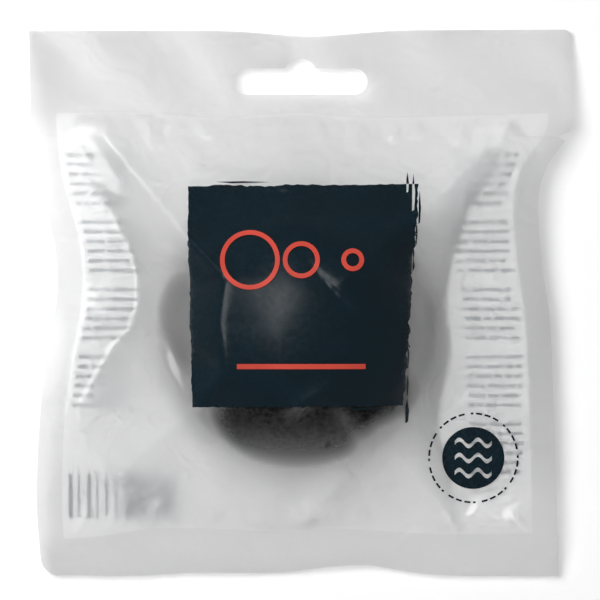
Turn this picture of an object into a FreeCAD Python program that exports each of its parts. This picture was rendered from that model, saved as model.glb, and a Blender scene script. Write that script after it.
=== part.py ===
import FreeCAD, Part
import math
import os

# A konjac sponge sealed in a hang pouch that lies on its back.
# Millimetres: X to the right, Y towards the header, Z up from the table.

# Pouch outline and film
POUCH_WIDTH = 130.0
POUCH_HEIGHT = 130.7
FILM = 0.15
INK = 0.08
INK_LIFT = 0.1

# Welds, measured in from the cut edges, and the tear line
SIDE_WELD = 6.0
BOTTOM_WELD = 10.0
HEADER_WELD = 21.0
TEAR_BELOW_TOP = 25.8
NOTCH_DEPTH = 2.4
NOTCH_HEIGHT = 2.2

# How far each cut edge is drawn in: (share of the edge's length, millimetres)
LEFT_DRAW = (
    (0.0, 3.3), (0.14, 2.2), (0.32, 3.4), (0.52, 7.2), (0.61, 6.5), (0.72, 2.6), (0.81, 1.0), (1.0, 0.0),
)
RIGHT_DRAW = (
    (0.0, 3.3), (0.32, 4.7), (0.47, 5.6), (0.58, 7.6), (0.69, 8.3), (0.75, 6.1), (0.81, 0.7), (0.86, 0.0),
    (1.0, 0.0),
)
TOP_DRAW = ((0.0, 0.4), (0.2, 0.3), (0.38, 0.5), (0.52, 1.7), (0.65, 0.5), (0.75, 0.1), (1.0, 0.0))
BOTTOM_DRAW = (
    (0.0, 0.3), (0.2, 0.0), (0.3, 0.7), (0.45, 0.8), (0.61, 2.6), (0.72, 0.6), (0.8, 0.0), (1.0, 0.0),
)
BOTTOM_LEFT_RADIUS = 4.5
TOP_RIGHT_RADIUS = 2.0

# Height of the welds' middle plane: (share of the pouch's height, millimetres)
WELD_RISE = ((0.0, 2.0), (0.08, 5.0), (0.3, 9.0), (0.5, 10.0), (0.7, 9.0), (0.84, 5.5), (1.0, 0.8))
SIDE_DROOP = 2.5

# Hang slot: a long round-ended hole with a bump over its middle
SLOT_WIDTH = 32.0
SLOT_HEIGHT = 6.4
SLOT_BELOW_TOP = 12.6
BUMP_WIDTH = 8.0
BUMP_RISE = 2.4

# Sponge: flat underside, rounded edge, domed top
SPONGE_DIAMETER = 66.0
SPONGE_HEIGHT = 31.0
SPONGE_EDGE_HEIGHT = 9.0
SPONGE_EDGE_INSET = 7.0
SPONGE_X = -0.8
SPONGE_Y = -6.5
FILM_CLEARANCE = 0.5
SEAT_GAP = 0.1

# Around the sponge the webs leave the dome and the table, meet, and run on as a double brim to the welds:
# (degrees from +X, millimetres from the sponge's edge), which lies past the weld where the webs stay apart
DRAPE = (
    (-180, 7.0), (-169, 15.0), (-158, 23.0), (-141, 24.0), (-122, 37.0), (-60, 37.0), (-36, 9.0), (-8, 3.5),
    (16, 4.0), (34, 16.0), (45, 37.0), (132, 37.0), (154, 11.0), (169, 5.5), (180, 7.0),
)
LIFT_OFF_INSET = 0.5
BRIM_GAP = 0.3
BRIM_FADE = 0.15
SAG = 0.05

# Ridges of the front web: points along the crest, height and half width
RIDGES = (
    (((-51, 45), (-27, 16), (-17.3, 6), (-18.5, -5), (-17.5, -16), (-25, -25), (-46, -44)), 2.8, 12.0),
    (((50, 43), (30, 22), (8, 3)), 2.6, 14.0),
    (((16, -27), (38, -54)), 1.6, 9.0),
    (((-2.6, 45), (-3.5, 26)), 1.2, 7.0),
    (((12, -40), (-4, -57)), 2.0, 6.0),
)
RIDGE_TAPER = 0.4
RIDGE_FADE = 0.06

# Flat patch of the back web that the pouch lies on, in from where the web lifts off
REST_INSET = 12.5

# Dark square on the front web, with bubble rings and a rule in a second ink
PANEL_WIDTH = 53.5
PANEL_HEIGHT = 53.0
PANEL_RIGHT_OF_SPONGE = 1.0
PANEL_ABOVE_SPONGE = 8.5
RULE_WIDTH = 30.0
RULE_HEIGHT = 1.2
RULE_ABOVE_PANEL_FOOT = 9.0
BUBBLE_RADIUS = 7.0
BUBBLE_LINE = 1.1
BUBBLE_STEP = 12.0
BUBBLE_SHRINK = 0.62
BUBBLES = 3
BUBBLES_ABOVE_PANEL_MIDDLE = 8.0

# Round badge on the front web, its middle measured from the welds
BADGE_RADIUS = 7.4
BADGE_IN_FROM_WELD = 13.7
BADGE_ABOVE_WELD = 18.4

# Pale blocks and stripes on the back web
COLUMN_WIDTH = 13.0
COLUMN_MARGIN = 1.5
BLOCK_HEIGHT = 13.0
BLOCK_STEP = 16.0
BLOCKS_BELOW_TEAR = 4.0
BLOCKS_ABOVE_FOOT = 4.0
STRIPE_WIDTH = 1.0
STRIPE_STEP = 2.2
STRIPES = 12
STRIPE_HEIGHT = 10.5
STRIPES_ABOVE_WELD = 4.0

# Control points of the film surfaces
FILM_COLUMNS = 37
FILM_ROWS = 37
STRIP_COLUMNS = 4
HEADER_ROWS = 6
DEGREE = 3

# Derived levels along Y and Z
TOP = POUCH_HEIGHT / 2
BOTTOM = -POUCH_HEIGHT / 2
CAVITY_TOP = TOP - HEADER_WELD
CAVITY_BOTTOM = BOTTOM + BOTTOM_WELD
TEAR = TOP - TEAR_BELOW_TOP
SPONGE_RADIUS = SPONGE_DIAMETER / 2
SPONGE_BASE = FILM + SEAT_GAP
SPONGE_WAIST = SPONGE_BASE + SPONGE_EDGE_HEIGHT
FLAT_RADIUS = SPONGE_RADIUS - LIFT_OFF_INSET
PANEL_X = SPONGE_X + PANEL_RIGHT_OF_SPONGE
PANEL_Y = SPONGE_Y + PANEL_ABOVE_SPONGE
STRIPES_FOOT = CAVITY_BOTTOM + STRIPES_ABOVE_WELD
TALL = 4 * SPONGE_HEIGHT

os.makedirs("parts", exist_ok=True)


def vector(x, y, z=0.0):
    return FreeCAD.Vector(x, y, z)


# Smooth curve through a few (place, value) pairs
def through(pairs, place):
    places = [pair[0] for pair in pairs]
    values = [pair[1] for pair in pairs]
    last = len(pairs) - 1
    slopes = []
    for k in range(len(pairs)):
        before = max(k - 1, 0)
        after = min(k + 1, last)
        slopes.append((values[after] - values[before]) / (places[after] - places[before]))
    k = 0
    while k < last - 1 and place > places[k + 1]:
        k += 1
    span = places[k + 1] - places[k]
    s = min(max((place - places[k]) / span, 0.0), 1.0)
    start = (1 + 2 * s) * (1 - s) ** 2 * values[k] + s * (1 - s) ** 2 * span * slopes[k]
    end = s * s * (3 - 2 * s) * values[k + 1] + s * s * (s - 1) * span * slopes[k + 1]
    return start + end


def height_share(y):
    return (y - BOTTOM) / POUCH_HEIGHT


def width_share(x):
    return x / POUCH_WIDTH + 0.5


# Cut edges of the pouch and the middle plane of its welds
def left_edge(y):
    return -POUCH_WIDTH / 2 + through(LEFT_DRAW, height_share(y))


def right_edge(y):
    return POUCH_WIDTH / 2 - through(RIGHT_DRAW, height_share(y))


def top_edge(x):
    return TOP - through(TOP_DRAW, width_share(x))


def bottom_edge(x):
    return BOTTOM + through(BOTTOM_DRAW, width_share(x))


def weld_height(y):
    return through(WELD_RISE, height_share(y))


# The welds' outer edges hang a little lower beside the sponge
def edge_droop(y):
    along = (y - CAVITY_BOTTOM) / (CAVITY_TOP - CAVITY_BOTTOM)
    return SIDE_DROOP * math.sin(math.pi * min(max(along, 0.0), 1.0))


# How far a point of the webs lies towards the weld: 0 at the sponge's middle, 1 on the weld
def weld_share(x, y):
    side = right_edge(y) - SIDE_WELD if x > SPONGE_X else left_edge(y) + SIDE_WELD
    end = CAVITY_TOP if y > SPONGE_Y else CAVITY_BOTTOM
    return max((x - SPONGE_X) / (side - SPONGE_X), (y - SPONGE_Y) / (end - SPONGE_Y))


# Half of the gap between the webs in the brim, which closes at the weld
def brim_gap(share):
    return BRIM_GAP / 2 * min((1 - share) / BRIM_FADE, 1.0)


# Where the line from the sponge's middle through a point meets the brim, or the weld if that is nearer:
# its distance from the middle, the weld's height and half of the gap there
def brim_meeting(x, y, r):
    share = weld_share(x, y)
    angle = math.degrees(math.atan2(y - SPONGE_Y, x - SPONGE_X))
    reach = min(SPONGE_RADIUS + through(DRAPE, angle), r / share)
    return reach, weld_height(SPONGE_Y + (y - SPONGE_Y) * reach / r), brim_gap(share * reach / r)


# Distance from a ridge's crest, and how far along it the nearest point lies, from 0 to 1
def off_ridge(points, x, y):
    lengths = [math.dist(a, b) for a, b in zip(points, points[1:])]
    nearest = math.inf
    passed = 0.0
    for (x0, y0), (x1, y1), length in zip(points, points[1:], lengths):
        s = min(max(((x - x0) * (x1 - x0) + (y - y0) * (y1 - y0)) / length**2, 0.0), 1.0)
        away = math.hypot(x - x0 - s * (x1 - x0), y - y0 - s * (y1 - y0))
        if away < nearest:
            nearest = away
            along = (passed + s * length) / sum(lengths)
        passed += length
    return nearest, along


# Ridges, which taper at their ends and fade at the welds
def ridge_height(x, y):
    total = 0.0
    for points, height, width in RIDGES:
        away, along = off_ridge(points, x, y)
        crest = max(1 - away / width, 0.0) ** 2
        total += height * crest * max(math.sin(math.pi * along), 0.0) ** RIDGE_TAPER
    return total * min(max((1 - weld_share(x, y)) / RIDGE_FADE, 0.0), 1.0)


# Inner face of the front web without its ridges: over the dome, sagging down to the brim, then along it
def tent_height(x, y):
    r = math.hypot(x - SPONGE_X, y - SPONGE_Y)
    wide = SPONGE_RADIUS + FILM_CLEARANCE
    tall = SPONGE_HEIGHT - SPONGE_EDGE_HEIGHT + FILM_CLEARANCE
    dome = SPONGE_WAIST + tall * math.sqrt(max(1 - (r / wide) ** 2, 0.0))
    if r == 0.0:
        return dome
    reach, level, gap = brim_meeting(x, y, r)
    if r >= reach:
        return weld_height(y) + brim_gap(weld_share(x, y))
    across = reach / wide
    up = (level + gap - SPONGE_WAIST) / tall
    turn = math.atan2(up, across) + math.acos(1 / math.hypot(across, up))
    touch = wide * math.cos(turn)
    if r <= touch:
        return dome
    t = (r - touch) / (reach - touch)
    slack = SAG * min((reach - SPONGE_RADIUS) / SPONGE_RADIUS, 1.0)
    touch_height = SPONGE_WAIST + tall * math.sin(turn)
    line = touch_height + (level + gap - touch_height) * t - slack * (reach - touch) * 4 * t * (1 - t)
    return max(line, dome) if r < wide else line


def front_height(x, y):
    return tent_height(x, y) + ridge_height(x, y)


# Inner face of the back web: flat under the sponge, straight up to the brim, then along it
def back_height(x, y):
    r = math.hypot(x - SPONGE_X, y - SPONGE_Y)
    if r <= FLAT_RADIUS:
        return FILM
    reach, level, gap = brim_meeting(x, y, r)
    if r >= reach:
        return weld_height(y) - brim_gap(weld_share(x, y))
    return FILM + (level - gap - FILM) * (r - FLAT_RADIUS) / (reach - FLAT_RADIUS)


# Even control points and knots of a clamped spline
def clamped_knots(count):
    spans = count - DEGREE
    knots = [k / spans for k in range(spans + 1)]
    mults = [DEGREE + 1] + [1] * (spans - 1) + [DEGREE + 1]
    return knots, mults


def even_shares(count):
    knots, mults = clamped_knots(count)
    full = [knot for knot, times in zip(knots, mults) for copy in range(times)]
    return [sum(full[k + 1 : k + 1 + DEGREE]) / DEGREE for k in range(count)]


def spline_surface(poles):
    u_knots, u_mults = clamped_knots(len(poles))
    v_knots, v_mults = clamped_knots(len(poles[0]))
    surface = Part.BSplineSurface()
    surface.buildFromPolesMultsKnots(poles, u_mults, v_mults, u_knots, v_knots, False, False, DEGREE, DEGREE)
    return surface


def cavity_rows():
    return [CAVITY_BOTTOM + share * (CAVITY_TOP - CAVITY_BOTTOM) for share in even_shares(FILM_ROWS)]


# One web between the welds, as a surface of heights
def web_surface(height):
    poles = []
    for share in even_shares(FILM_COLUMNS):
        column = []
        for y in cavity_rows():
            left = left_edge(y) + SIDE_WELD
            x = left + share * (right_edge(y) - SIDE_WELD - left)
            column.append(vector(x, y, height(x, y)))
        poles.append(column)
    return spline_surface(poles)


# One side weld, from its inner edge to the cut edge
def side_surface(edge, inward):
    poles = []
    for share in even_shares(STRIP_COLUMNS):
        column = []
        for y in cavity_rows():
            x = edge(y) + inward * SIDE_WELD * (1 - share)
            column.append(vector(x, y, weld_height(y) - edge_droop(y) * share))
        poles.append(column)
    return spline_surface(poles)


# A weld right across the pouch, from the cavity to the top or bottom edge
def cross_surface(cavity_end, outer_edge, rows):
    poles = []
    for share in even_shares(FILM_COLUMNS):
        column = []
        for step in even_shares(rows):
            y = cavity_end
            for settle in range(2):
                x = left_edge(y) + share * (right_edge(y) - left_edge(y))
                y = cavity_end + step * (outer_edge(x) - cavity_end)
            column.append(vector(x, y, weld_height(y)))
        poles.append(column)
    return spline_surface(poles)


# Film solids: a piece of a surface between two shares of its rows, given thickness along Z
def film_solid(surface, first, last, below, above):
    face = surface.toShape(0.0, 1.0, first, last)
    face.translate(vector(0, 0, -below))
    return face.extrude(vector(0, 0, below + above))


def prism(points):
    wire = Part.makePolygon([vector(x, y, -TALL) for x, y in points + points[:1]])
    return Part.Face(wire).extrude(vector(0, 0, 2 * TALL))


def box(x_low, x_high, y_low, y_high):
    return prism([(x_low, y_low), (x_high, y_low), (x_high, y_high), (x_low, y_high)])


def rod(x, y, radius):
    return Part.makeCylinder(radius, 2 * TALL, vector(x, y, -TALL))


# Cutters for the hang slot, the tear notches and the rounded corners
def hang_slot():
    y = TOP - SLOT_BELOW_TOP
    half = SLOT_WIDTH / 2 - SLOT_HEIGHT / 2
    low = y - SLOT_HEIGHT / 2
    high = y + SLOT_HEIGHT / 2
    bump = rod(0, high + BUMP_RISE - BUMP_WIDTH / 2, BUMP_WIDTH / 2)
    ends = [rod(-half, y, SLOT_HEIGHT / 2), rod(half, y, SLOT_HEIGHT / 2)]
    return box(-half, half, low, high).fuse(ends + [bump])


def notch(edge, inward):
    x = edge(TEAR)
    outside = x - inward * NOTCH_DEPTH
    half = NOTCH_HEIGHT / 2
    points = [(x + inward * NOTCH_DEPTH, TEAR), (x, TEAR + half), (outside, TEAR + half)]
    return prism(points + [(outside, TEAR - half), (x, TEAR - half)])


def corner_cutter(x, y, radius, x_inward, y_inward):
    x_centre = x + x_inward * radius
    y_centre = y + y_inward * radius
    x_sides = sorted([x_centre, x - x_inward * radius])
    y_sides = sorted([y_centre, y - y_inward * radius])
    return box(x_sides[0], x_sides[1], y_sides[0], y_sides[1]).cut(rod(x_centre, y_centre, radius))


# The sponge, turned from its half outline
def sponge():
    foot = SPONGE_RADIUS - SPONGE_EDGE_INSET
    crest = SPONGE_BASE + SPONGE_HEIGHT
    edge_poles = [(foot, SPONGE_BASE), (SPONGE_RADIUS, SPONGE_BASE), (SPONGE_RADIUS, SPONGE_WAIST)]
    dome_poles = [(SPONGE_RADIUS, SPONGE_WAIST), (SPONGE_RADIUS, crest), (0, crest)]
    edges = [Part.makeLine(vector(0, 0, SPONGE_BASE), vector(foot, 0, SPONGE_BASE))]
    for corner in (edge_poles, dome_poles):
        edges.append(quarter_round(corner))
    edges.append(Part.makeLine(vector(0, 0, crest), vector(0, 0, SPONGE_BASE)))
    profile = Part.Face(Part.Wire(edges))
    turned = profile.revolve(vector(0, 0, 0), vector(0, 0, 1), 360)
    turned.translate(vector(SPONGE_X, SPONGE_Y))
    return turned


# Exact quarter of an ellipse inside a right-angled corner of three points
def quarter_round(corner):
    curve = Part.BezierCurve()
    curve.setPoles([vector(x, 0, z) for x, z in corner])
    curve.setWeight(2, math.sqrt(0.5))
    return curve.toShape()


# Front and back webs between the bottom weld and the tear line
def front_film():
    return film_solid(FRONT, 0.0, TEAR_SHARE, 0.0, FILM)


def back_film():
    web = film_solid(BACK, 0.0, TEAR_SHARE, FILM, 0.0)
    radius = FLAT_RADIUS - REST_INSET
    patch = Part.makeCylinder(radius, FILM, vector(SPONGE_X, SPONGE_Y))
    return web.cut(rod(SPONGE_X, SPONGE_Y, radius)).fuse(patch)


# Welded strips
def side_seal(surface, edge, inward):
    return film_solid(surface, 0.0, TEAR_SHARE, FILM, FILM).cut(notch(edge, inward))


def bottom_seal():
    strip = film_solid(cross_surface(CAVITY_BOTTOM, bottom_edge, STRIP_COLUMNS), 0.0, 1.0, FILM, FILM)
    return strip.cut(corner_cutter(left_edge(BOTTOM), BOTTOM, BOTTOM_LEFT_RADIUS, 1, 1))


# Everything above the tear line: the header's weld, both webs' short skirts and the side welds' ends
def tear_off_header():
    weld = film_solid(cross_surface(CAVITY_TOP, top_edge, HEADER_ROWS), 0.0, 1.0, FILM, FILM)
    skirts = [film_solid(FRONT, TEAR_SHARE, 1.0, 0.0, FILM), film_solid(BACK, TEAR_SHARE, 1.0, FILM, 0.0)]
    ends = [film_solid(side, TEAR_SHARE, 1.0, FILM, FILM) for side in (LEFT, RIGHT)]
    whole = weld.fuse(skirts + ends).removeSplitter()
    corner = corner_cutter(right_edge(TOP), TOP, TOP_RIGHT_RADIUS, -1, -1)
    return whole.cut([hang_slot(), notch(left_edge, 1), notch(right_edge, -1), corner])


# Ink lies on the outside of a web, within an outline
def front_ink(outline, layers=1):
    skin = FRONT.toShape(0.0, 1.0, 0.0, TEAR_SHARE)
    skin.translate(vector(0, 0, FILM + INK_LIFT + (INK + INK_LIFT) * (layers - 1)))
    return skin.extrude(vector(0, 0, INK)).common(outline)


def back_ink(outline):
    skin = BACK.toShape(0.0, 1.0, 0.0, TEAR_SHARE)
    skin.translate(vector(0, 0, -FILM - INK_LIFT))
    return skin.extrude(vector(0, 0, -INK)).common(outline)


def front_panel_print():
    half = PANEL_WIDTH / 2
    low = PANEL_Y - PANEL_HEIGHT / 2
    return front_ink(box(PANEL_X - half, PANEL_X + half, low, low + PANEL_HEIGHT))


# Rings that grow smaller to the right, over a plain rule
def panel_accent_print():
    y = PANEL_Y + BUBBLES_ABOVE_PANEL_MIDDLE
    shapes = []
    for k in range(BUBBLES):
        radius = BUBBLE_RADIUS * BUBBLE_SHRINK**k
        x = PANEL_X + BUBBLE_STEP * (k - (BUBBLES - 1) / 2)
        shapes.append(rod(x, y, radius).cut(rod(x, y, radius - BUBBLE_LINE)))
    low = PANEL_Y - PANEL_HEIGHT / 2 + RULE_ABOVE_PANEL_FOOT
    half = RULE_WIDTH / 2
    shapes.append(box(PANEL_X - half, PANEL_X + half, low, low + RULE_HEIGHT))
    return front_ink(Part.makeCompound(shapes), 2)


def badge_print():
    y = CAVITY_BOTTOM + BADGE_ABOVE_WELD
    x = right_edge(y) - SIDE_WELD - BADGE_IN_FROM_WELD
    return front_ink(rod(x, y, BADGE_RADIUS))


# Blocks stacked down one side of the back web, from the tear line to whatever lies at their foot
def back_column_print(edge, inward, foot):
    high = TEAR - BLOCKS_BELOW_TEAR
    shapes = []
    while high - BLOCK_HEIGHT >= foot + BLOCKS_ABOVE_FOOT:
        outer = edge(high - BLOCK_HEIGHT / 2) + inward * (SIDE_WELD + COLUMN_MARGIN)
        sides = sorted([outer, outer + inward * COLUMN_WIDTH])
        shapes.append(box(sides[0], sides[1], high - BLOCK_HEIGHT, high))
        high -= BLOCK_STEP
    return back_ink(Part.makeCompound(shapes))


def back_stripe_print():
    start = left_edge(STRIPES_FOOT) + SIDE_WELD + COLUMN_MARGIN
    shapes = []
    for k in range(STRIPES):
        x = start + k * STRIPE_STEP
        shapes.append(box(x, x + STRIPE_WIDTH, STRIPES_FOOT, STRIPES_FOOT + STRIPE_HEIGHT))
    return back_ink(Part.makeCompound(shapes))


FRONT = web_surface(front_height)
BACK = web_surface(back_height)
LEFT = side_surface(left_edge, 1)
RIGHT = side_surface(right_edge, -1)
TEAR_SHARE = (TEAR - CAVITY_BOTTOM) / (CAVITY_TOP - CAVITY_BOTTOM)

NODES = {
    "sponge": sponge(),
    "front_film": front_film(),
    "back_film": back_film(),
    "left_side_seal": side_seal(LEFT, left_edge, 1),
    "right_side_seal": side_seal(RIGHT, right_edge, -1),
    "bottom_seal": bottom_seal(),
    "tear_off_header": tear_off_header(),
    "front_panel_print": front_panel_print(),
    "panel_accent_print": panel_accent_print(),
    "badge_print": badge_print(),
    "back_column_print_left": back_column_print(left_edge, 1, STRIPES_FOOT + STRIPE_HEIGHT),
    "back_column_print_right": back_column_print(right_edge, -1, CAVITY_BOTTOM),
    "back_stripe_print": back_stripe_print(),
}
for node, shape in NODES.items():
    shape.exportStep("parts/" + node + ".step")
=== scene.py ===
import bpy
import math
import random
import numpy as np
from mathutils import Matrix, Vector, kdtree, noise
from mathutils.geometry import delaunay_2d_cdt


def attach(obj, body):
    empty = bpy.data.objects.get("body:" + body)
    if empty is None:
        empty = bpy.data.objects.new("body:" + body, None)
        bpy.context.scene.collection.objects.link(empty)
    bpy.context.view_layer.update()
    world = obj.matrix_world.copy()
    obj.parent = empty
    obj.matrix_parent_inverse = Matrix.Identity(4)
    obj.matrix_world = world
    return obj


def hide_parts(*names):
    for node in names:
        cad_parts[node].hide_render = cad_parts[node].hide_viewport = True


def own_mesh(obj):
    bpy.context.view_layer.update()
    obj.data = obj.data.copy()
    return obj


# A konjac sponge sealed in a frosted hang pouch that lies on its back.
# Sizes are millimetres, as in the CAD source: X to the right, Y towards the header, Z up from the table.

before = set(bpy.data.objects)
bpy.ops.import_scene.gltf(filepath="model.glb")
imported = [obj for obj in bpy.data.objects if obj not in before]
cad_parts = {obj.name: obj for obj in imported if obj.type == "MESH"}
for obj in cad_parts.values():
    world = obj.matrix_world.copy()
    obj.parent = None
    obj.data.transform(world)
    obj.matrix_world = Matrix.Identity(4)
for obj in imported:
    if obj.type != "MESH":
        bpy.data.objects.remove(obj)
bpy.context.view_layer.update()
MM = 0.001
random.seed(7)

# Pouch outline, film and ink
POUCH_WIDTH = 130.0
POUCH_HEIGHT = 130.7
FILM = 0.15
INK = 0.06
INK_LIFT = 0.2

# Welds, measured in from the cut edges, and the tear line
SIDE_WELD = 6.0
BOTTOM_WELD = 10.0
HEADER_WELD = 21.0
TEAR_BELOW_TOP = 25.8
TEAR_GAP = 0.02
NOTCH_DEPTH = 2.4
NOTCH_HEIGHT = 2.2

# How far each cut edge is drawn in: (share of the edge's length, millimetres)
LEFT_DRAW = (
    (0.0, 3.3), (0.14, 2.2), (0.32, 3.4), (0.52, 7.2), (0.61, 6.5), (0.72, 2.6), (0.81, 1.0), (1.0, 0.0),
)
RIGHT_DRAW = (
    (0.0, 3.3), (0.32, 4.7), (0.47, 5.6), (0.58, 7.6), (0.69, 8.3), (0.75, 6.1), (0.81, 0.7), (0.86, 0.0),
    (1.0, 0.0),
)
TOP_DRAW = ((0.0, 0.4), (0.2, 0.3), (0.38, 0.5), (0.52, 1.7), (0.65, 0.5), (0.75, 0.1), (1.0, 0.0))
BOTTOM_DRAW = (
    (0.0, 0.3), (0.2, 0.0), (0.3, 0.7), (0.45, 0.8), (0.61, 2.6), (0.72, 0.6), (0.8, 0.0), (1.0, 0.0),
)
BOTTOM_LEFT_RADIUS = 4.5
TOP_RIGHT_RADIUS = 2.0

# The inner edges of the bottom and header welds wander a little: (share of the width, millimetres up)
BOTTOM_SEAM = ((0.0, -1.5), (0.12, -0.5), (0.25, 1.6), (0.5, 0.6), (0.55, 1.5), (0.75, 0.2), (1.0, 0.4))
HEADER_SEAM = ((0.0, 0.6), (0.2, 0.9), (0.35, -0.4), (0.5, 0.8), (0.6, -0.3), (0.8, 0.1), (1.0, 1.0))

# Height of the welds' middle plane: (share of the pouch's height, millimetres)
WELD_RISE = ((0.0, 2.0), (0.08, 5.0), (0.3, 9.0), (0.5, 10.0), (0.7, 9.0), (0.84, 5.5), (1.0, 0.8))
LEFT_DROOP = 2.0
RIGHT_DROOP = 4.0
RIPPLE = 0.18
RIPPLE_LENGTH = 4.3
RIPPLE_SWAY = 2.0
RIPPLE_SWAY_LENGTH = 9.89

# Hang slot: a long round-ended hole with a bump over its middle
SLOT_WIDTH = 32.0
SLOT_HEIGHT = 6.4
SLOT_BELOW_TOP = 12.6
BUMP_WIDTH = 8.0
BUMP_RISE = 2.4

# Sponge: flat underside, rounded edge, domed top, with pores of two sizes
SPONGE_DIAMETER = 66.0
SPONGE_HEIGHT = 31.0
SPONGE_EDGE_HEIGHT = 9.0
SPONGE_EDGE_INSET = 7.0
SPONGE_X = -0.8
SPONGE_Y = -6.5
FILM_CLEARANCE = 0.4
SEAT_GAP = 0.1
PORE_SIZES = (2.6, 1.2)
PORE_DEPTHS = (0.7, 0.35)
PORE_REACH = 0.5
PORE_POINT = 1.5
SPONGE_COLUMNS = 300
SPONGE_ROWS = 44

# Where the webs meet around the sponge: (degrees from +X, millimetres from its edge), past the weld elsewhere
DRAPE = (
    (-180, 7.0), (-169, 15.0), (-158, 23.0), (-141, 24.0), (-122, 37.0), (-60, 37.0), (-36, 9.0), (-8, 3.5),
    (16, 4.0), (34, 16.0), (45, 37.0), (132, 37.0), (154, 11.0), (169, 5.5), (180, 7.0),
)
LIFT_OFF_INSET = 0.5
BRIM_GAP = 0.3
BRIM_FADE = 0.15
SAG = 0.05

# Creases of the front web: points along the ridge, height and width
CREASES = (
    (((-51, 45), (-27, 16), (-17.3, 6), (-18.5, -5), (-17.5, -16), (-25, -25), (-46, -44)), 2.8, 12.0),
    (((-51, 45), (-27, 16), (-17.3, 6)), 1.2, 3.5),
    (((50, 43), (30, 22), (8, 3)), 2.6, 14.0),
    (((16, -27), (38, -54)), 1.6, 9.0),
    (((-53, 37), (-44, 23)), 0.8, 4.0),
    (((-2.6, 45), (-3.5, 26)), 1.2, 7.0),
    (((12, -40), (-4, -57)), 2.0, 6.0),
    (((10, -18), (-4, -27)), 0.8, 4.0),
    (((8, -24), (22, -44)), 1.0, 5.0),
    (((-35, 6), (-34, -7), (-31, -16), (-27, -24), (-12, -41)), 1.0, 3.5),
    (((41, -48), (59, -59)), 1.2, 6.0),
    (((-31, 45), (-23, 29)), 0.8, 5.0),
    (((-56, 2), (-44, -4), (-37, -14)), 0.8, 6.0),
)
RIDGE_ROUND = 0.8
RIDGE_TAPER = 0.4
CREASE_FADE = 0.06

# Short gathers that run in from the header and bottom welds
GATHERS = 16
GATHER_LENGTHS = (5.0, 11.0)
GATHER_HEIGHTS = (0.5, 1.2)
GATHER_WIDTHS = (2.0, 4.0)
GATHER_PLACES = (0.1, 0.9)
GATHER_LEANS = (-2.0, 2.0)
GATHER_NARROWING = 0.94

# Film on the sponge is clear at the square's foot, half clear beside it, and frosted where it lifts off
CLING_GAP = 2.2
CLING_HALF_WIDTH = 17.0
CLING_FADE = 14.0
CLING_FADE_BELOW = 20.0
CLING_LEFT = 0.5
CLING_RIGHT = 0.9

# Dark square on the front web, with bubble rings and a rule in a second ink
PANEL_WIDTH = 53.5
PANEL_HEIGHT = 53.0
PANEL_RIGHT_OF_SPONGE = 1.0
PANEL_ABOVE_SPONGE = 8.5
BRUSH_WOBBLE = 0.35
BRUSH_FRAY = 0.8
BRUSH_WAVES = (6.0, 1.1)
BRUSH_TAPER = 0.3
BRUSH_SEED_STEP = 11.3

# How far each corner of the square is out of true, to the right and up, from the lower left round
PANEL_SKEW = ((1.2, 0.0), (-2.8, 0.3), (1.0, -0.5), (0.0, -1.0))

# Loose strokes of the brush at the square's rim: (in from its right side, below its top, length, width)
BRISTLES = (
    (1.6, -2.4, 5.0, 0.6), (0.2, -2.0, 9.0, 0.7), (-1.2, 2.0, 8.0, 0.5), (-0.4, 9.0, 6.0, 0.4),
    (0.6, 16.5, 5.0, 0.3), (1.6, 38.0, 6.0, 0.35), (1.7, 45.0, 5.5, 0.4), (1.8, 51.0, 6.0, 0.9),
)
SWEEPS = ((6.0, 53.4, 11.0, 0.5), (34.0, 0.1, 13.0, 0.5))
SWEEP_BELLY = 0.7
RULE_WIDTH = 30.0
RULE_HEIGHT = 1.2
RULE_ABOVE_PANEL_FOOT = 9.0
BUBBLE_RADIUS = 7.0
BUBBLE_LINE = 1.1
BUBBLE_STEP = 12.0
BUBBLE_SHRINK = 0.62
BUBBLES = 3
BUBBLES_ABOVE_PANEL_MIDDLE = 8.0

# Round badge on the front web: waves left open in a dark disc, and a ring of dashes
BADGE_RADIUS = 7.4
BADGE_IN_FROM_WELD = 13.7
BADGE_ABOVE_WELD = 18.4
WAVES = 3
WAVE_STEP = 3.6
WAVE_HALF_WIDTH = 4.4
WAVE_RISE = 0.8
WAVE_LENGTH = 4.4
WAVE_LINE = 1.0
WAVE_POINTS = 24
DASHES = 32
DASH_RADIUS = 10.6
DASH_LINE = 0.45
DASH_SHARES = (0.3, 0.7, 0.7, 0.7)

# Pale rows and stripes on the back web
COLUMN_WIDTH = 13.0
COLUMN_MARGIN = 1.5
BLOCK_HEIGHT = 13.0
BLOCK_STEP = 16.0
BLOCKS_BELOW_TEAR = 4.0
BLOCKS_ABOVE_FOOT = 4.0
ROW_STEP = 2.3
ROW_LINE = 0.9
WORD_GAP = 0.6
WORD_LENGTHS = (1.2, 4.5)
WORD_LEAST = 1.0
STRIPE_STEP = 2.2
STRIPES = 12
STRIPE_WIDTHS = (0.5, 1.0, 1.5)
STRIPE_HEIGHT = 10.5
STRIPES_ABOVE_WELD = 4.0

# Mesh steps
FILM_STEP = 0.9
INK_STEP = 0.7
EDGE_STEP = 0.8
MERGE = 1e-4
CLEAR_OF_EDGE = 0.6
SHARP_DEGREES = 50

# Film: its optics, and the scale (per metre) and depth (millimetres) of its crinkles and frost
FILM_IOR = 1.33
FILM_ROUGHNESS_SPREAD = (-0.04, 0.06)
COAT_ROUGHNESS = 0.2
CRINKLE_SCALE = 90.0
CRINKLE_TWIST = 0.6
CRINKLE_DEPTH = 1.3
FROST_SCALE = 2500.0
FROST_DEPTH = 0.01

# Ink: its shine, its mottle and its brush strokes
INK_SHINE = 0.15
INK_ROUGHNESS_SPREAD = (-0.05, 0.08)
INK_MOTTLE_SCALE = 120.0
INK_STROKE_SCALE = 700.0
INK_STROKE_DEPTH = 0.004

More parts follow.
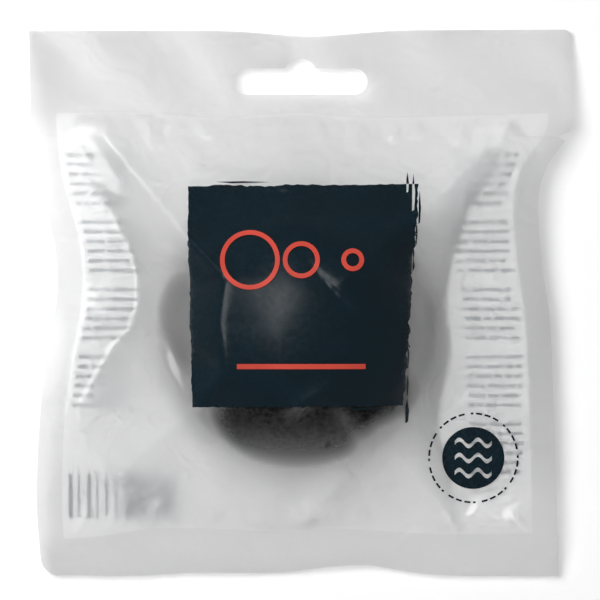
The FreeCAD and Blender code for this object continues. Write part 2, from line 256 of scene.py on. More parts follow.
# Skin of the sponge between the pits: fine pores, whose middles are darkened as painted shade, and a coarser
# unevenness
SKIN_ROUGHNESS = 0.95
SKIN_SHINE = 0.05
SKIN_PORE_SCALE = 900.0
SKIN_PORE_SHADE_RANGE = (0.1, 0.7)
SKIN_PORE_DEPTH = 0.4
SKIN_UNEVEN_SCALE = 500.0
SKIN_UNEVEN_DEPTH = 0.2

# Camera straight above, framed as 600 by 600
SENSOR = 36.0
CAMERA_HEIGHT = 1100.0
CAMERA_X = -0.1
CAMERA_Y = 0.6
VIEW_LEVEL = 4.0
VIEW_WIDTH = 143.2

# Light: a broad lamp on the upper left, and a dim sky that looks brighter in reflections and through film
KEY_PLACE = (-560.0, 350.0, 1235.0)
KEY_SIZE = 1000.0
KEY_POWER = 21.0
SKY = 0.17
SKY_SHINE = 0.5
WHITE = (1.0, 1.0, 1.0, 1.0)
FLOOR_SIZE = 4000.0
FLOOR_COLOUR = (0.95, 0.95, 0.95, 1.0)
FLOOR_ROUGHNESS = 0.9
FLOOR_GLOW = 0.08

# Derived levels
TOP = POUCH_HEIGHT / 2
BOTTOM = -POUCH_HEIGHT / 2
CAVITY_TOP = TOP - HEADER_WELD
CAVITY_BOTTOM = BOTTOM + BOTTOM_WELD
TEAR = TOP - TEAR_BELOW_TOP
SPONGE_RADIUS = SPONGE_DIAMETER / 2
SPONGE_BASE = FILM + SEAT_GAP
SPONGE_WAIST = SPONGE_BASE + SPONGE_EDGE_HEIGHT
FLAT_RADIUS = SPONGE_RADIUS - LIFT_OFF_INSET
DOME_WIDE = SPONGE_RADIUS + FILM_CLEARANCE
DOME_TALL = SPONGE_HEIGHT - SPONGE_EDGE_HEIGHT + FILM_CLEARANCE
PANEL_X = SPONGE_X + PANEL_RIGHT_OF_SPONGE
PANEL_Y = SPONGE_Y + PANEL_ABOVE_SPONGE
STRIPES_FOOT = CAVITY_BOTTOM + STRIPES_ABOVE_WELD


# Smooth curve through a few (place, value) pairs
def through(pairs, place):
    places, values = np.array(pairs, dtype=float).T
    order = np.arange(len(places))
    last = len(places) - 1
    before = np.maximum(order - 1, 0)
    after = np.minimum(order + 1, last)
    slopes = (values[after] - values[before]) / (places[after] - places[before])
    k = np.clip(np.searchsorted(places, place) - 1, 0, last - 1)
    span = places[k + 1] - places[k]
    s = np.clip((place - places[k]) / span, 0.0, 1.0)
    start = (1 + 2 * s) * (1 - s) ** 2 * values[k] + s * (1 - s) ** 2 * span * slopes[k]
    end = s * s * (3 - 2 * s) * values[k + 1] + s * s * (s - 1) * span * slopes[k + 1]
    return start + end


def height_share(y):
    return (y - BOTTOM) / POUCH_HEIGHT


def width_share(x):
    return x / POUCH_WIDTH + 0.5


# Cut edges, weld edges and the middle plane of the welds
def left_edge(y):
    return -POUCH_WIDTH / 2 + through(LEFT_DRAW, height_share(y))


def right_edge(y):
    return POUCH_WIDTH / 2 - through(RIGHT_DRAW, height_share(y))


def top_edge(x):
    return TOP - through(TOP_DRAW, width_share(x))


def bottom_edge(x):
    return BOTTOM + through(BOTTOM_DRAW, width_share(x))


def left_weld(y):
    return left_edge(y) + SIDE_WELD


def right_weld(y):
    return right_edge(y) - SIDE_WELD


def bottom_weld(x):
    return CAVITY_BOTTOM + through(BOTTOM_SEAM, width_share(x))


def header_weld(x):
    return CAVITY_TOP + through(HEADER_SEAM, width_share(x))


def weld_height(y):
    return through(WELD_RISE, height_share(y))


# Welds hang lower towards their cut edges beside the sponge, and ripple a little
def weld_plane(x, y):
    beside = np.sin(math.pi * np.clip((y - CAVITY_BOTTOM) / (CAVITY_TOP - CAVITY_BOTTOM), 0.0, 1.0))
    left = np.clip((left_weld(y) - x) / SIDE_WELD, 0.0, 1.0)
    right = np.clip((x - right_weld(y)) / SIDE_WELD, 0.0, 1.0)
    out = np.clip((weld_share(x, y) - 1.0) / BRIM_FADE, 0.0, 1.0)
    ripple = RIPPLE * out * np.sin(x / RIPPLE_LENGTH + RIPPLE_SWAY * np.sin(y / RIPPLE_SWAY_LENGTH))
    return weld_height(y) - beside * (LEFT_DROOP * left + RIGHT_DROOP * right) + ripple


# How far a point of the webs lies towards the weld: 0 at the sponge's middle, 1 on the weld
def weld_share(x, y):
    side = np.where(x > SPONGE_X, right_weld(y), left_weld(y))
    end = np.where(y > SPONGE_Y, header_weld(x), bottom_weld(x))
    return np.maximum((x - SPONGE_X) / (side - SPONGE_X), (y - SPONGE_Y) / (end - SPONGE_Y))


def brim_gap(share):
    return BRIM_GAP / 2 * np.clip((1 - share) / BRIM_FADE, 0.0, 1.0)


# Distance from the sponge's middle; where the line outwards meets the brim or weld, its height and half gap
def brim_meeting(x, y):
    r = np.maximum(np.hypot(x - SPONGE_X, y - SPONGE_Y), MERGE)
    share = np.maximum(weld_share(x, y), MERGE)
    angle = np.degrees(np.arctan2(y - SPONGE_Y, x - SPONGE_X))
    reach = np.minimum(SPONGE_RADIUS + through(DRAPE, angle), r / share)
    level = weld_height(SPONGE_Y + (y - SPONGE_Y) * reach / r)
    return r, reach, level, brim_gap(share * reach / r)


# Seeded places for the gathers, as creases
def gathers():
    made = []
    for weld, inward in ((header_weld, -1), (bottom_weld, 1)):
        for k in range(GATHERS):
            x = (k + random.uniform(*GATHER_PLACES)) / GATHERS * POUCH_WIDTH - POUCH_WIDTH / 2
            length = random.uniform(*GATHER_LENGTHS)
            start = (x, float(weld(x)) - inward * length / 3)
            end = (x * GATHER_NARROWING + random.uniform(*GATHER_LEANS), start[1] + inward * length * 4 / 3)
            made.append(((start, end), random.uniform(*GATHER_HEIGHTS), random.uniform(*GATHER_WIDTHS)))
    return tuple(made)


# Distance from a ridge line, and how far along it the nearest point lies, from 0 to 1
def off_ridge(points, x, y):
    lengths = [math.dist(a, b) for a, b in zip(points, points[1:])]
    nearest = np.full_like(x, np.inf)
    along = np.zeros_like(x)
    passed = 0.0
    for (x0, y0), (x1, y1), length in zip(points, points[1:], lengths):
        s = np.clip(((x - x0) * (x1 - x0) + (y - y0) * (y1 - y0)) / length**2, 0.0, 1.0)
        away = np.hypot(x - x0 - s * (x1 - x0), y - y0 - s * (y1 - y0))
        along = np.where(away < nearest, (passed + s * length) / sum(lengths), along)
        nearest = np.minimum(nearest, away)
        passed += length
    return nearest, along


# Ridges along the creases, which fade at their ends and at the welds
def crease_height(x, y):
    total = np.zeros_like(x)
    for points, height, width in CREASES + SEEDED_GATHERS:
        away, along = off_ridge(points, x, y)
        crest = np.clip(1 - (np.hypot(away, RIDGE_ROUND) - RIDGE_ROUND) / width, 0.0, 1.0) ** 2
        total += height * crest * np.sin(math.pi * along) ** RIDGE_TAPER
    return total * np.clip((1 - weld_share(x, y)) / CREASE_FADE, 0.0, 1.0)


def dome_height(r):
    return SPONGE_WAIST + DOME_TALL * np.sqrt(np.clip(1 - (r / DOME_WIDE) ** 2, 0.0, 1.0))


# Inner face of the front web: over the dome, down to the brim with a slight sag, then along it
def front_inner(x, y):
    r, reach, level, gap = brim_meeting(x, y)
    across = reach / DOME_WIDE
    up = (level + gap - SPONGE_WAIST) / DOME_TALL
    turn = np.arctan2(up, across) + np.arccos(np.clip(1 / np.hypot(across, up), 0.0, 1.0))
    touch = DOME_WIDE * np.cos(turn)
    touch_height = SPONGE_WAIST + DOME_TALL * np.sin(turn)
    t = np.clip((r - touch) / (reach - touch), 0.0, 1.0)
    sag = SAG * (reach - touch) * 4 * t * (1 - t) * np.clip((reach - SPONGE_RADIUS) / SPONGE_RADIUS, 0.0, 1.0)
    line = touch_height + (level + gap - touch_height) * t - sag
    brim = weld_height(y) + brim_gap(weld_share(x, y))
    height = np.where(r <= touch, dome_height(r), np.where(r >= reach, brim, line)) + crease_height(x, y)
    return np.where(r < SPONGE_RADIUS, np.maximum(height, dome_height(r)), height)


# Inner face of the back web: flat under the sponge, straight up to the brim, then along it
def back_inner(x, y):
    r, reach, level, gap = brim_meeting(x, y)
    brim = weld_height(y) - brim_gap(weld_share(x, y))
    rise = FILM + (level - gap - FILM) * (r - FLAT_RADIUS) / (reach - FLAT_RADIUS)
    return np.where(r <= FLAT_RADIUS, FILM, np.where(r >= reach, brim, rise))


def front_outer(x, y):
    return FILM + np.where(weld_share(x, y) < 1.0, front_inner(x, y), weld_plane(x, y))


def back_outer(x, y):
    return -FILM + np.where(weld_share(x, y) < 1.0, back_inner(x, y), weld_plane(x, y))


# Outlines in the plane of the table
def along_y(edge, start, end):
    steps = max(2, round(abs(end - start) / EDGE_STEP))
    return [(float(edge(y)), float(y)) for y in np.linspace(start, end, steps)]


def along_x(edge, start, end):
    steps = max(2, round(abs(end - start) / EDGE_STEP))
    return [(float(x), float(edge(x))) for x in np.linspace(start, end, steps)]


def arc(x, y, radius, first, last):
    steps = max(4, round(math.radians(abs(last - first)) * radius / EDGE_STEP))
    turns = np.radians(np.linspace(first, last, steps + 1))
    return [(x + radius * math.cos(turn), y + radius * math.sin(turn)) for turn in turns]


def rectangle(x_low, x_high, y_low, y_high):
    return [(x_low, y_low), (x_high, y_low), (x_high, y_high), (x_low, y_high)]


def tear_line(y):
    left = float(left_weld(TEAR))
    right = float(right_weld(TEAR))
    line = along_x(lambda x: y, left, right)
    tips = [(float(left_edge(TEAR)) + NOTCH_DEPTH, y), (float(right_edge(TEAR)) - NOTCH_DEPTH, y)]
    return [tips[0]] + line + [tips[1]]


def bag_outline():
    radius = BOTTOM_LEFT_RADIUS
    high = TEAR - NOTCH_HEIGHT / 2
    left = along_y(left_edge, high, BOTTOM + radius)
    corner = arc(left[-1][0] + radius, BOTTOM + radius, radius, 180, 270)[1:]
    bottom = along_x(bottom_edge, left[-1][0] + radius + EDGE_STEP, float(right_edge(BOTTOM)))
    right = along_y(right_edge, bottom[-1][1], high)[1:]
    return left + corner + bottom + right + tear_line(TEAR - TEAR_GAP)[::-1]


def header_outline():
    radius = TOP_RIGHT_RADIUS
    low = TEAR + NOTCH_HEIGHT / 2
    right = along_y(right_edge, low, TOP - radius)
    corner = arc(right[-1][0] - radius, TOP - radius, radius, 0, 90)[1:]
    top = along_x(top_edge, right[-1][0] - radius - EDGE_STEP, float(left_edge(TOP)))
    left = along_y(left_edge, top[-1][1], low)[1:]
    return tear_line(TEAR + TEAR_GAP) + right + corner + top + left


def hang_slot():
    y = TOP - SLOT_BELOW_TOP
    half = SLOT_WIDTH / 2 - SLOT_HEIGHT / 2
    radius = SLOT_HEIGHT / 2
    bump = BUMP_WIDTH / 2
    rise = BUMP_RISE - bump
    start = math.degrees(math.asin(-rise / bump))
    right = arc(half, y, radius, -90, 90)
    top = arc(0, y + radius + rise, bump, start, 180 - start)
    left = arc(-half, y, radius, 90, 270)
    return right + top + left


def bag_cavity():
    foot_left = float(left_weld(CAVITY_BOTTOM))
    foot_right = float(right_weld(CAVITY_BOTTOM))
    foot = along_x(bottom_weld, foot_left, foot_right)
    left = along_y(left_weld, TEAR - TEAR_GAP, foot[0][1])
    right = along_y(right_weld, foot[-1][1], TEAR - TEAR_GAP)
    return left[:-1] + foot + right[1:]


def header_cavity():
    head = along_x(header_weld, float(left_weld(CAVITY_TOP)), float(right_weld(CAVITY_TOP)))
    left = along_y(left_weld, TEAR + TEAR_GAP, head[0][1])
    right = along_y(right_weld, head[-1][1], TEAR + TEAR_GAP)
    return left[:-1] + head + right[1:]


# Even-odd test of points against closed loops
def inside(loops, points):
    x, y = np.asarray(points).T
    odd = np.zeros(len(x), dtype=bool)
    for loop in loops:
        for (x0, y0), (x1, y1) in zip(loop, loop[1:] + loop[:1]):
            if y0 == y1:
                continue
            crosses = (y0 > y) != (y1 > y)
            odd ^= crosses & (x < x0 + (y - y0) * (x1 - x0) / (y1 - y0))
    return odd


# Staggered points inside the loops, clear of the points that are there already
def fill_points(loops, taken, step):
    lows = np.min(taken, axis=0)
    highs = np.max(taken, axis=0)
    tree = kdtree.KDTree(len(taken))
    for k, (x, y) in enumerate(taken):
        tree.insert((x, y, 0.0), k)
    tree.balance()
    rows = np.arange(lows[1] + step / 2, highs[1], step * math.sqrt(0.75))
    columns = [np.arange(lows[0] + shift, highs[0], step) for shift in (0.0, step / 2)]
    grid = [(x, y) for k, y in enumerate(rows) for x in columns[k % 2]]
    if not grid:
        return []
    kept = [point for point, within in zip(grid, inside(loops, grid)) if within]
    return [(x, y) for x, y in kept if tree.find((x, y, 0.0))[2] > step * CLEAR_OF_EDGE]


def triangulate(loops, chains, step):
    corners = []
    edges = []
    for line in loops + chains:
        first = len(corners)
        corners.extend(line)
        edges.extend((k, k + 1) for k in range(first, len(corners) - 1))
        if line in loops:
            edges.append((len(corners) - 1, first))
    points = corners + fill_points(loops, corners, step)
    found = delaunay_2d_cdt([Vector(point) for point in points], edges, [], 0, MERGE)
    points = np.array([tuple(point) for point in found[0]])
    triangles = np.array(found[2])
    return points, triangles[inside(loops, points[triangles].mean(axis=1))]


# Edges that only one triangle uses, in that triangle's direction
def rim_edges(triangles):
    sides = set()
    for a, b, c in triangles.tolist():
        sides.update([(a, b), (b, c), (c, a)])
    return sorted(side for side in sides if side[::-1] not in sides)


# A loop with points about every step along its sides
def stepped(loop, step):
    points = []
    for (x0, y0), (x1, y1) in zip(loop, loop[1:] + loop[:1]):
        parts = max(1, round(math.hypot(x1 - x0, y1 - y0) / step))
        points += [(x0 + (x1 - x0) * k / parts, y0 + (y1 - y0) * k / parts) for k in range(parts)]
    return points


# A closed plate of ink that follows a surface, between two heights above it
def plate(loops, surface, low, high):
    points, triangles = triangulate([stepped(loop, INK_STEP) for loop in loops], [], INK_STEP)
    x, y = points.T
    z = surface(x, y)
    count = len(points)
    vertices = np.vstack([np.column_stack([x, y, z + high]), np.column_stack([x, y, z + low])])
    faces = triangles.tolist() + (triangles[:, ::-1] + count).tolist()
    faces += [(a, a + count, b + count, b) for a, b in rim_edges(triangles)]
    return vertices, faces


# Kinds of film face, in the order of the materials on a film piece
WEB, LINING, WELDED = range(3)


# Two webs welded around a cavity that is open at the tear line, as one closed skin
def welded_webs(loops, cavity):
    points, triangles = triangulate(loops, [cavity], FILM_STEP)
    x, y = points.T
    count = len(points)
    hollow = inside([cavity], points[triangles].mean(axis=1))
    lined = sorted(set(triangles[hollow].ravel().tolist()))
    welded = set(lined) & set(triangles[~hollow].ravel().tolist())
    heights = [front_outer(x, y), back_outer(x, y)]
    vertices = [np.column_stack([x, y, height]) for height in heights]
    ceiling = {}
    floor = {}
    lining = []
    inner_front = heights[0] - FILM
    inner_back = heights[1] + FILM
    for k in lined:
        ceiling[k] = 2 * count + len(lining)
        lining.append((x[k], y[k], inner_front[k]))
        if k in welded:
            lining[-1] = (x[k], y[k], (inner_front[k] + inner_back[k]) / 2)
            floor[k] = ceiling[k]
        else:
            floor[k] = 2 * count + len(lining)
            lining.append((x[k], y[k], inner_back[k]))
    faces = triangles[hollow].tolist() + (triangles[hollow][:, ::-1] + count).tolist()
    webs = len(faces)
    for a, b, c in triangles[hollow].tolist():
        faces.append((ceiling[c], ceiling[b], ceiling[a]))
        faces.append((floor[a], floor[b], floor[c]))
    lined_to = len(faces)
    faces += triangles[~hollow].tolist() + (triangles[~hollow][:, ::-1] + count).tolist()
    mouth = set(rim_edges(triangles[hollow])) & set(rim_edges(triangles))
    tips = {k for edge in mouth for k in edge} & welded
    for a, b in rim_edges(triangles):
        if (a, b) in mouth:
            faces.append((a, ceiling[a], ceiling[b], b))
            faces.append((floor[a], a + count, b + count, floor[b]))
        else:
            start = [ceiling[a]] if a in tips else []
            end = [ceiling[b]] if b in tips else []
            faces.append([a] + start + [a + count, b + count] + end + [b])
    kinds = [WEB] * webs + [LINING] * (lined_to - webs) + [WELDED] * (len(faces) - lined_to)
    return np.vstack(vertices + [np.array(lining)]), faces, kinds


# A mesh piece that rides on a body and stands for CAD nodes
def piece(name, shape, material, body, nodes):
    vertices, faces = shape
    mesh = bpy.data.meshes.new(name)
    mesh.from_pydata((np.asarray(vertices) * MM).tolist(), [], faces)
    mesh.materials.append(material)
    mesh.shade_smooth()
    mesh.set_sharp_from_angle(angle=math.radians(SHARP_DEGREES))
    made = bpy.data.objects.new(name, mesh)
    bpy.context.scene.collection.objects.link(made)
    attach(made, body)
    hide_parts(*nodes)
    return made


# A screen colour, 0 to 255, as linear levels
def linear(red, green, blue):
    levels = np.array([red, green, blue]) / 255
    return (*np.where(levels <= 0.04045, levels / 12.92, ((levels + 0.055) / 1.055) ** 2.4).tolist(), 1.0)


# Shader helpers
def new_material(name, **sockets):
    material = bpy.data.materials.new(name)
    material.use_nodes = True
    shader = material.node_tree.nodes["Principled BSDF"]
    for socket, value in sockets.items():
        shader.inputs[socket.replace("_", " ")].default_value = value
    return material, material.node_tree, shader


def grain(tree, kind, scale, **sockets):
    place = tree.nodes.new("ShaderNodeTexCoord")
    node = tree.nodes.new(kind)
    node.inputs["Scale"].default_value = scale
    for socket, value in sockets.items():
        node.inputs[socket].default_value = value
    tree.links.new(place.outputs["Object"], node.inputs["Vector"])
    return node.outputs[0]


def between(tree, factor, low, high, start=0.3, end=0.7):
    node = tree.nodes.new("ShaderNodeMapRange")
    node.inputs["From Min"].default_value = start
    node.inputs["From Max"].default_value = end
    node.inputs["To Min"].default_value = low
    node.inputs["To Max"].default_value = high
    tree.links.new(factor, node.inputs["Value"])
    return node.outputs["Result"]


def mottle(tree, factor, first, second):
    node = tree.nodes.new("ShaderNodeMix")
    node.data_type = "RGBA"
    node.inputs["A"].default_value = first
    node.inputs["B"].default_value = second
    tree.links.new(factor, node.inputs["Factor"])
    return node.outputs["Result"]


def bump(tree, shader, heights):
    below = None
    for height, distance in heights:
        node = tree.nodes.new("ShaderNodeBump")
        node.inputs["Distance"].default_value = distance * MM
        tree.links.new(height, node.inputs["Height"])
        if below:
            tree.links.new(below, node.inputs["Normal"])
        below = node.outputs["Normal"]
    tree.links.new(below, shader.inputs["Normal"])


# Frosted film: clear, with a rough skin that blurs what lies away from it
def film_material(name, colour, roughness, clearness, coat):
    material, tree, shader = new_material(
        name, Base_Color=colour, Transmission_Weight=clearness, IOR=FILM_IOR,
        Coat_Weight=coat, Coat_Roughness=COAT_ROUGHNESS,
    )
    frosted = tree.nodes.new("ShaderNodeAttribute")
    frosted.attribute_name = "frost"
    tree.links.new(frosted.outputs["Fac"], shader.inputs["Alpha"])
    cloud = grain(tree, "ShaderNodeTexNoise", CRINKLE_SCALE, Detail=3.0)
    frost = grain(tree, "ShaderNodeTexNoise", FROST_SCALE, Detail=2.0)
    crinkle = grain(tree, "ShaderNodeTexNoise", CRINKLE_SCALE, Detail=2.0, Distortion=CRINKLE_TWIST)
    low, high = (roughness + step for step in FILM_ROUGHNESS_SPREAD)
    tree.links.new(between(tree, cloud, low, high), shader.inputs["Roughness"])
    bump(tree, shader, [(crinkle, CRINKLE_DEPTH), (frost, FROST_DEPTH)])
    return material


def ink_material(name, first, second, roughness):
    material, tree, shader = new_material(name, Specular_IOR_Level=INK_SHINE)
    cloud = grain(tree, "ShaderNodeTexNoise", INK_MOTTLE_SCALE, Detail=4.0)
    strokes = grain(tree, "ShaderNodeTexNoise", INK_STROKE_SCALE, Detail=3.0)
    low, high = (roughness + step for step in INK_ROUGHNESS_SPREAD)
    tree.links.new(mottle(tree, between(tree, cloud, 0.0, 1.0), first, second), shader.inputs["Base Color"])
    tree.links.new(between(tree, strokes, low, high), shader.inputs["Roughness"])
    bump(tree, shader, [(strokes, INK_STROKE_DEPTH)])
    return material


def sponge_material():
    material, tree, shader = new_material(
        "charcoal_sponge", Roughness=SKIN_ROUGHNESS, Specular_IOR_Level=SKIN_SHINE
    )
    uneven = grain(tree, "ShaderNodeTexNoise", SKIN_UNEVEN_SCALE, Detail=5.0)
    pores = grain(tree, "ShaderNodeTexVoronoi", SKIN_PORE_SCALE)
    # The skin is darkest at the middle of each fine pore, where the bump sinks it: painted shade in the pores
    shade = between(tree, pores, 0.0, 1.0, *SKIN_PORE_SHADE_RANGE)
    tree.links.new(mottle(tree, shade, linear(5, 5, 6), linear(36, 37, 36)), shader.inputs["Base Color"])
    bump(tree, shader, [(pores, SKIN_PORE_DEPTH), (uneven, SKIN_UNEVEN_DEPTH)])
    return material


# The sponge, turned from its half outline, with pits pressed into its skin
def sponge_profile():
    foot = SPONGE_RADIUS - SPONGE_EDGE_INSET
    turns = np.linspace(0.0, math.pi / 2, SPONGE_ROWS)
    flat = [(share * foot, SPONGE_BASE) for share in np.linspace(0.0, 1.0, SPONGE_ROWS)[1:]]
    edge = [
        (foot + SPONGE_EDGE_INSET * math.sin(turn), SPONGE_WAIST - SPONGE_EDGE_HEIGHT * math.cos(turn))
        for turn in turns[1::2]
    ]
    rise = SPONGE_HEIGHT - SPONGE_EDGE_HEIGHT
    dome = [
        (SPONGE_RADIUS * math.cos(turn), SPONGE_WAIST + rise * math.sin(turn))
        for turn in turns[1:-1]
    ]
    return flat + edge + dome


def pit_depth(point):
    depth = 0.0
    for size, deep in zip(PORE_SIZES, PORE_DEPTHS):
        nearest = noise.voronoi(Vector(point) / size)[0][0]
        depth += deep * max(0.0, 1.0 - nearest / PORE_REACH) ** PORE_POINT
    return depth


def sponge_shape():
    profile = sponge_profile()
    middle = Vector((0.0, 0.0, SPONGE_WAIST))
    vertices = []
    for radius, height in profile:
        for k in range(SPONGE_COLUMNS):
            turn = 2 * math.pi * k / SPONGE_COLUMNS
            point = Vector((radius * math.cos(turn), radius * math.sin(turn), height))
            if height > SPONGE_BASE:
                point += (middle - point).normalized() * pit_depth(point)
            vertices.append((point.x + SPONGE_X, point.y + SPONGE_Y, point.z))
    faces = []
    for row in range(len(profile) - 1):
        for k in range(SPONGE_COLUMNS):
            a = row * SPONGE_COLUMNS + k
            b = row * SPONGE_COLUMNS + (k + 1) % SPONGE_COLUMNS
            faces.append((a, a + SPONGE_COLUMNS, b + SPONGE_COLUMNS, b))
    for start, height in ((0, SPONGE_BASE), (len(vertices) - SPONGE_COLUMNS, SPONGE_BASE + SPONGE_HEIGHT)):
        pole = len(vertices)
        vertices.append((SPONGE_X, SPONGE_Y, height))
        for k in range(SPONGE_COLUMNS):
            a = start + k
            b = start + (k + 1) % SPONGE_COLUMNS
            faces.append((a, b, pole) if start else (b, a, pole))
    return vertices, faces


# Ink on the outside of a web
def front_ink(loops, layer=1):
    low = INK_LIFT * layer + INK * (layer - 1)
    return plate(loops, front_outer, low, low + INK)


def back_ink(loops):
    return plate(loops, back_outer, -INK_LIFT - INK, -INK_LIFT)


# One side of the brushed square: points from one corner to the next, moved across the side by noise
def brushed_side(start, end, wobble, seed):
    steps = round(math.hypot(end[0] - start[0], end[1] - start[1]) / INK_STEP)
    points = []
    for k in range(steps):
        share = k / steps
        x = start[0] + (end[0] - start[0]) * share
        y = start[1] + (end[1] - start[1]) * share
        waves = sum(noise.noise(Vector((x / wave, y / wave, seed))) for wave in BRUSH_WAVES)
        shift = wobble * waves * math.sin(math.pi * share) ** BRUSH_TAPER
        across = (end[1] - start[1], start[0] - end[0])
        length = math.hypot(*across)
        points.append((x + across[0] / length * shift, y + across[1] / length * shift))
    return points


# A stroke that swells towards its end, down the side or along the top and bottom
def stroke(x, y, length, width, lean):
    half = width / 2
    foot = x - lean * length
    low = y - length
    down = [(x, y), (x - half, y - length / 3), (foot - half / 2, low)]
    return down + [(foot + half, low + half), (x + half, y - length / 2)]


def sweep(x, y, length, width):
    half = width / 2
    tip = [(x, y), (x - length / 2, y + half), (x - length, y + half / 2)]
    return tip + [(x - length * SWEEP_BELLY, y - half)]


def front_panel():
    left = PANEL_X - PANEL_WIDTH / 2
    right = PANEL_X + PANEL_WIDTH / 2
    low = PANEL_Y - PANEL_HEIGHT / 2
    high = PANEL_Y + PANEL_HEIGHT / 2
    plain = rectangle(left, right, low, high)
    corners = [(x + right_by, y + up_by) for (x, y), (right_by, up_by) in zip(plain, PANEL_SKEW)]
    wobbles = [BRUSH_WOBBLE, BRUSH_FRAY, BRUSH_WOBBLE, BRUSH_WOBBLE]
    square = []
    for k in range(4):
        square += brushed_side(corners[k], corners[(k + 1) % 4], wobbles[k], k * BRUSH_SEED_STEP)
    lean = (corners[2][0] - corners[1][0]) / PANEL_HEIGHT
    strokes = [stroke(right - x, high - y, length, width, lean / 2) for x, y, length, width in BRISTLES]
    sweeps = [sweep(right - x, high - y, length, width) for x, y, length, width in SWEEPS]
    return front_ink([square] + strokes + sweeps)


def panel_accent():
    y = PANEL_Y + BUBBLES_ABOVE_PANEL_MIDDLE
    loops = []
    for k in range(BUBBLES):
        radius = BUBBLE_RADIUS * BUBBLE_SHRINK**k
        x = PANEL_X + BUBBLE_STEP * (k - (BUBBLES - 1) / 2)
        for rim in (radius, radius - BUBBLE_LINE):
            loops.append(arc(x, y, rim, 0, 360)[:-1])
    low = PANEL_Y - PANEL_HEIGHT / 2 + RULE_ABOVE_PANEL_FOOT
    half = RULE_WIDTH / 2
    loops.append(rectangle(PANEL_X - half, PANEL_X + half, low, low + RULE_HEIGHT))
    return front_ink(loops, 2)


def wave(x, y):
    places = np.linspace(-WAVE_HALF_WIDTH, WAVE_HALF_WIDTH, WAVE_POINTS)
    rise = WAVE_RISE * np.sin(2 * math.pi * places / WAVE_LENGTH)
    low = [(x + a, y + b - WAVE_LINE / 2) for a, b in zip(places, rise)]
    high = [(x + a, y + b + WAVE_LINE / 2) for a, b in zip(places, rise)]
    return [(float(a), float(b)) for a, b in low + high[::-1]]


def badge():
    y = CAVITY_BOTTOM + BADGE_ABOVE_WELD
    x = float(right_weld(y)) - BADGE_IN_FROM_WELD
    loops = [arc(x, y, BADGE_RADIUS, 0, 360)[:-1]]
    loops += [wave(x, y + WAVE_STEP * (k - (WAVES - 1) / 2)) for k in range(WAVES)]
    pitch = 360 / DASHES
    for k in range(DASHES):
        first = k * pitch
        last = first + pitch * DASH_SHARES[k % len(DASH_SHARES)]
        outer = arc(x, y, DASH_RADIUS + DASH_LINE / 2, first, last)
        inner = arc(x, y, DASH_RADIUS - DASH_LINE / 2, last, first)
        loops.append(outer + inner)
    return front_ink(loops)


# Rows of short bars, stacked in blocks down one side of the back web
def back_column(edge, inward, foot):
    high = TEAR - BLOCKS_BELOW_TEAR
    loops = []
    while high - BLOCK_HEIGHT >= foot + BLOCKS_ABOVE_FOOT:
        y = high - ROW_LINE
        while y >= high - BLOCK_HEIGHT:
            outer = float(edge(y)) + inward * (SIDE_WELD + COLUMN_MARGIN)
            loops += word_bars(*sorted([outer, outer + inward * COLUMN_WIDTH]), y)
            y -= ROW_STEP
        high -= BLOCK_STEP
    return back_ink(loops)


def word_bars(x, end, y):
    bars = []
    while x < end - WORD_LEAST:
        length = min(random.uniform(*WORD_LENGTHS), end - x)
        bars.append(rectangle(x, x + length, y, y + ROW_LINE))
        x += length + WORD_GAP
    return bars


def back_stripes():
    start = float(left_weld(STRIPES_FOOT)) + COLUMN_MARGIN
    loops = []
    for k in range(STRIPES):
        x = start + k * STRIPE_STEP
        width = random.choice(STRIPE_WIDTHS)
        loops.append(rectangle(x, x + width, STRIPES_FOOT, STRIPES_FOOT + STRIPE_HEIGHT))
    return back_ink(loops)


# Camera, lamps, sky and floor
def set_camera():
    data = bpy.data.cameras.new("camera")
    data.sensor_width = SENSOR
    data.lens = SENSOR * (CAMERA_HEIGHT - VIEW_LEVEL) / VIEW_WIDTH
    camera = bpy.data.objects.new("camera", data)
    camera.location = Vector((CAMERA_X, CAMERA_Y, CAMERA_HEIGHT)) * MM
    bpy.context.scene.collection.objects.link(camera)
    bpy.context.scene.camera = camera


def add_lamp(name, place, size, power):
    data = bpy.data.lights.new(name, "AREA")
    data.size = size * MM
    data.energy = power
    lamp = bpy.data.objects.new(name, data)
    lamp.location = Vector(place) * MM
    lamp.rotation_euler = (-lamp.location).to_track_quat("-Z", "Y").to_euler()
    bpy.context.scene.collection.objects.link(lamp)


# One step of arithmetic in a shader
def combine(tree, operation, first, second):
    node = tree.nodes.new("ShaderNodeMath")
    node.operation = operation
    tree.links.new(first, node.inputs[0])
    if isinstance(second, float):
        node.inputs[1].default_value = second
    else:
        tree.links.new(second, node.inputs[1])
    return node.outputs[0]


# 1 for rays straight from the camera, and a share for those that a reflection or film sent on
def seen(tree, share):
    rays = tree.nodes.new("ShaderNodeLightPath")
    sent_on = combine(tree, "MAXIMUM", rays.outputs["Is Glossy Ray"], rays.outputs["Is Transmission Ray"])
    return combine(tree, "MAXIMUM", rays.outputs["Is Camera Ray"], combine(tree, "MULTIPLY", sent_on, share))


def set_sky():
    world = bpy.data.worlds.new("sky")
    world.use_nodes = True
    tree = world.node_tree
    strength = tree.nodes.new("ShaderNodeMapRange")
    strength.inputs["To Min"].default_value = SKY
    strength.inputs["To Max"].default_value = 1.0
    tree.links.new(seen(tree, SKY_SHINE), strength.inputs["Value"])
    background = tree.nodes["Background"]
    background.inputs["Color"].default_value = WHITE
    tree.links.new(strength.outputs["Result"], background.inputs["Strength"])
    bpy.context.scene.world = world


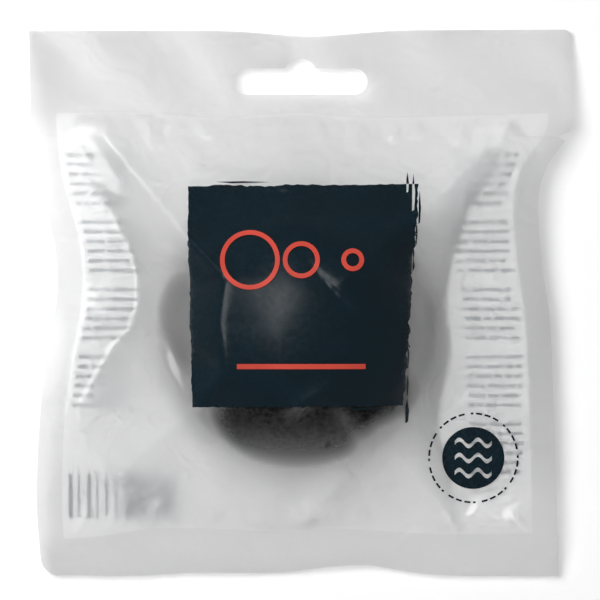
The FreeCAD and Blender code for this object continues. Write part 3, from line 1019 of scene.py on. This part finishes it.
def set_floor():
    half = FLOOR_SIZE / 2 * MM
    mesh = bpy.data.meshes.new("floor")
    corners = [(x, y, 0.0) for x, y in rectangle(-half, half, -half, half)]
    mesh.from_pydata(corners, [], [(0, 1, 2, 3)])
    material, tree, shader = new_material(
        "pale_floor", Base_Color=FLOOR_COLOUR, Roughness=FLOOR_ROUGHNESS,
        Specular_IOR_Level=0.0, Emission_Color=WHITE,
    )
    glow = combine(tree, "MULTIPLY", seen(tree, 1.0), FLOOR_GLOW)
    tree.links.new(glow, shader.inputs["Emission Strength"])
    mesh.materials.append(material)
    floor = bpy.data.objects.new("floor", mesh)
    bpy.context.scene.collection.objects.link(floor)


# How frosted each point of the film is, from 0 where it lies clear on the sponge to 1
def frosting(x, y, z):
    r = np.hypot(x - SPONGE_X, y - SPONGE_Y)
    away = SPONGE_RADIUS * (np.hypot(r / DOME_WIDE, (z - SPONGE_WAIST) / DOME_TALL) - 1)
    above = y - PANEL_Y + PANEL_HEIGHT / 2
    along = above / np.where(above > 0.0, CLING_FADE, CLING_FADE_BELOW)
    beside = np.maximum(np.abs(x - SPONGE_X) - CLING_HALF_WIDTH, 0.0) / CLING_FADE
    most = np.where(x < SPONGE_X, CLING_LEFT, CLING_RIGHT)
    frost = np.minimum(along**2 + beside**2, most) + (away / CLING_GAP) ** 2
    return np.where(z > SPONGE_WAIST, np.minimum(frost, 1.0), 1.0)


# Both webs, with their own materials for the lining and the welds
def film_piece(name, shape, skins, body, nodes):
    vertices, faces, kinds = shape
    made = piece(name, (vertices, faces), skins[0], body, nodes)
    for skin in skins[1:]:
        made.data.materials.append(skin)
    made.data.polygons.foreach_set("material_index", kinds)
    frost = made.data.attributes.new("frost", "FLOAT", "POINT")
    frost.data.foreach_set("value", frosting(*vertices.T))
    return made


# Film and ink pieces each get their own copy of their mesh
def flatten(*pieces):
    for soft in pieces:
        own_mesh(soft)


bpy.context.scene.view_settings.view_transform = "Standard"
SEEDED_GATHERS = gathers()
set_camera()
add_lamp("key_lamp", KEY_PLACE, KEY_SIZE, KEY_POWER)
set_sky()
set_floor()

film = film_material("frosted_film", (0.92, 0.92, 0.92, 1.0), 0.65, 0.8, 1.0)
lining = film_material("film_lining", WHITE, 0.65, 1.0, 0.0)
weld = film_material("welded_film", (0.8, 0.8, 0.8, 1.0), 0.6, 0.8, 0.6)
navy = ink_material("navy_ink", linear(2, 20, 28), linear(4, 26, 35), 0.25)
coral = ink_material("coral_ink", linear(205, 76, 62), linear(190, 68, 56), 0.45)
grey = ink_material("grey_ink", linear(34, 66, 80), linear(52, 84, 98), 0.6)

skins = [film, lining, weld]
bag = film_piece(
    "pouch_bag", welded_webs([bag_outline()], bag_cavity()), skins, "pouch",
    ["front_film", "back_film", "left_side_seal", "right_side_seal", "bottom_seal"],
)
header = welded_webs([header_outline(), hang_slot()], header_cavity())
film_piece("header_film", header, skins, "header", ["tear_off_header"])
sponge = piece("sponge_body", sponge_shape(), sponge_material(), "sponge", ["sponge"])

left_foot = STRIPES_FOOT + STRIPE_HEIGHT
prints = [
    piece("front_panel", front_panel(), navy, "pouch", ["front_panel_print"]),
    piece("panel_accent", panel_accent(), coral, "pouch", ["panel_accent_print"]),
    piece("badge", badge(), navy, "pouch", ["badge_print"]),
    piece("back_rows_left", back_column(left_edge, 1, left_foot), grey, "pouch",
          ["back_column_print_left"]),
    piece("back_rows_right", back_column(right_edge, -1, CAVITY_BOTTOM), grey, "pouch",
          ["back_column_print_right"]),
    piece("back_stripes", back_stripes(), grey, "pouch", ["back_stripe_print"]),
]
flatten(bag, *prints)
